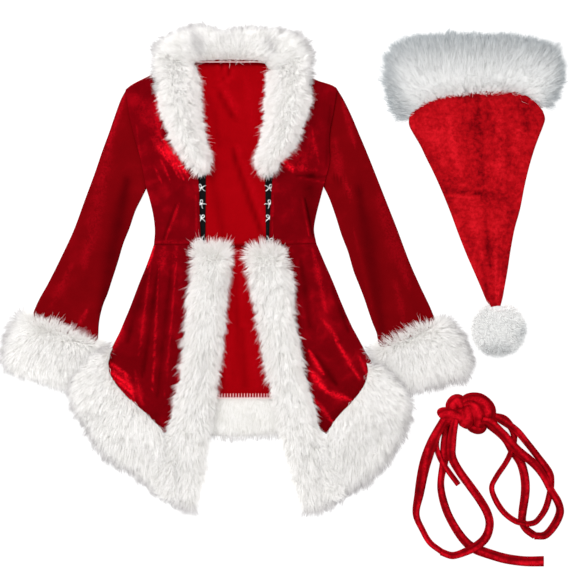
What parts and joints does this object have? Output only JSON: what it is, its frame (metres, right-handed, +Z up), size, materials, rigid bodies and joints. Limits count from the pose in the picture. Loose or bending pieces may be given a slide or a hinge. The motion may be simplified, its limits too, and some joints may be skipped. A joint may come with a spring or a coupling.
{
  "type": "christmas costume dress",
  "caption": "Red velvet costume dress laid open and flat, with white fur collar, front bands, hems and cuffs, hook tapes, a pointed fur-edged hat with a pompom, and a knotted tie belt",
  "frame": {"origin": "bottom centre of the box round the whole laid set, on the surface it lies on", "axes": "+X to the right across both sleeves and the hat, +Y up towards the collar, +Z up from the surface"},
  "size_m": [1.127, 1.0805, 0.058],
  "materials": {
    "velvet": "crushed stretch velvet, dark red",
    "velvet_inside": "matte inside of the velvet, red",
    "white_fur": "faux fur, warm white",
    "hat_fur": "faux fur, cool white",
    "hat_velvet": "crushed velvet, bright red",
    "belt_velvet": "velvet tube, red",
    "black_tape": "woven black tape",
    "wire": "nickel-plated wire"
  },
  "bodies": {
    "root": {"front_bodice_left": "velvet", "front_bodice_right": "velvet", "front_skirt_left": "velvet", "front_skirt_right": "velvet", "sleeve_left": "velvet", "sleeve_right": "velvet", "back_bodice": "velvet_inside", "back_skirt": "velvet_inside", "hem_back": "white_fur", "cuff_left": "white_fur", "cuff_right": "white_fur", "hem_front_left": "white_fur", "hem_front_right": "white_fur", "front_band_left": "white_fur", "front_band_right": "white_fur", "lapel_left": "white_fur", "lapel_right": "white_fur", "collar_back": "white_fur", "hat_band": "hat_fur", "hat_pompom": "hat_fur", "hat_cone": "hat_velvet", "belt_knot": "belt_velvet", "belt_long_end": "belt_velvet", "belt_short_end": "belt_velvet", "belt_left_loop_outer": "belt_velvet", "belt_left_loop_inner": "belt_velvet", "belt_wide_loop_inner": "belt_velvet", "belt_wide_loop_outer": "belt_velvet", "belt_narrow_loop_inner": "belt_velvet", "belt_narrow_loop_outer": "belt_velvet", "hook_tape_left": "black_tape", "hook_tape_right": "black_tape", "hook_left_1": "wire", "hook_left_2": "wire", "hook_left_3": "wire", "hook_left_4": "wire", "hook_left_5": "wire", "hook_right_1": "wire", "hook_right_2": "wire", "hook_right_3": "wire", "hook_right_4": "wire", "hook_right_5": "wire"}
  },
  "joints": []
}
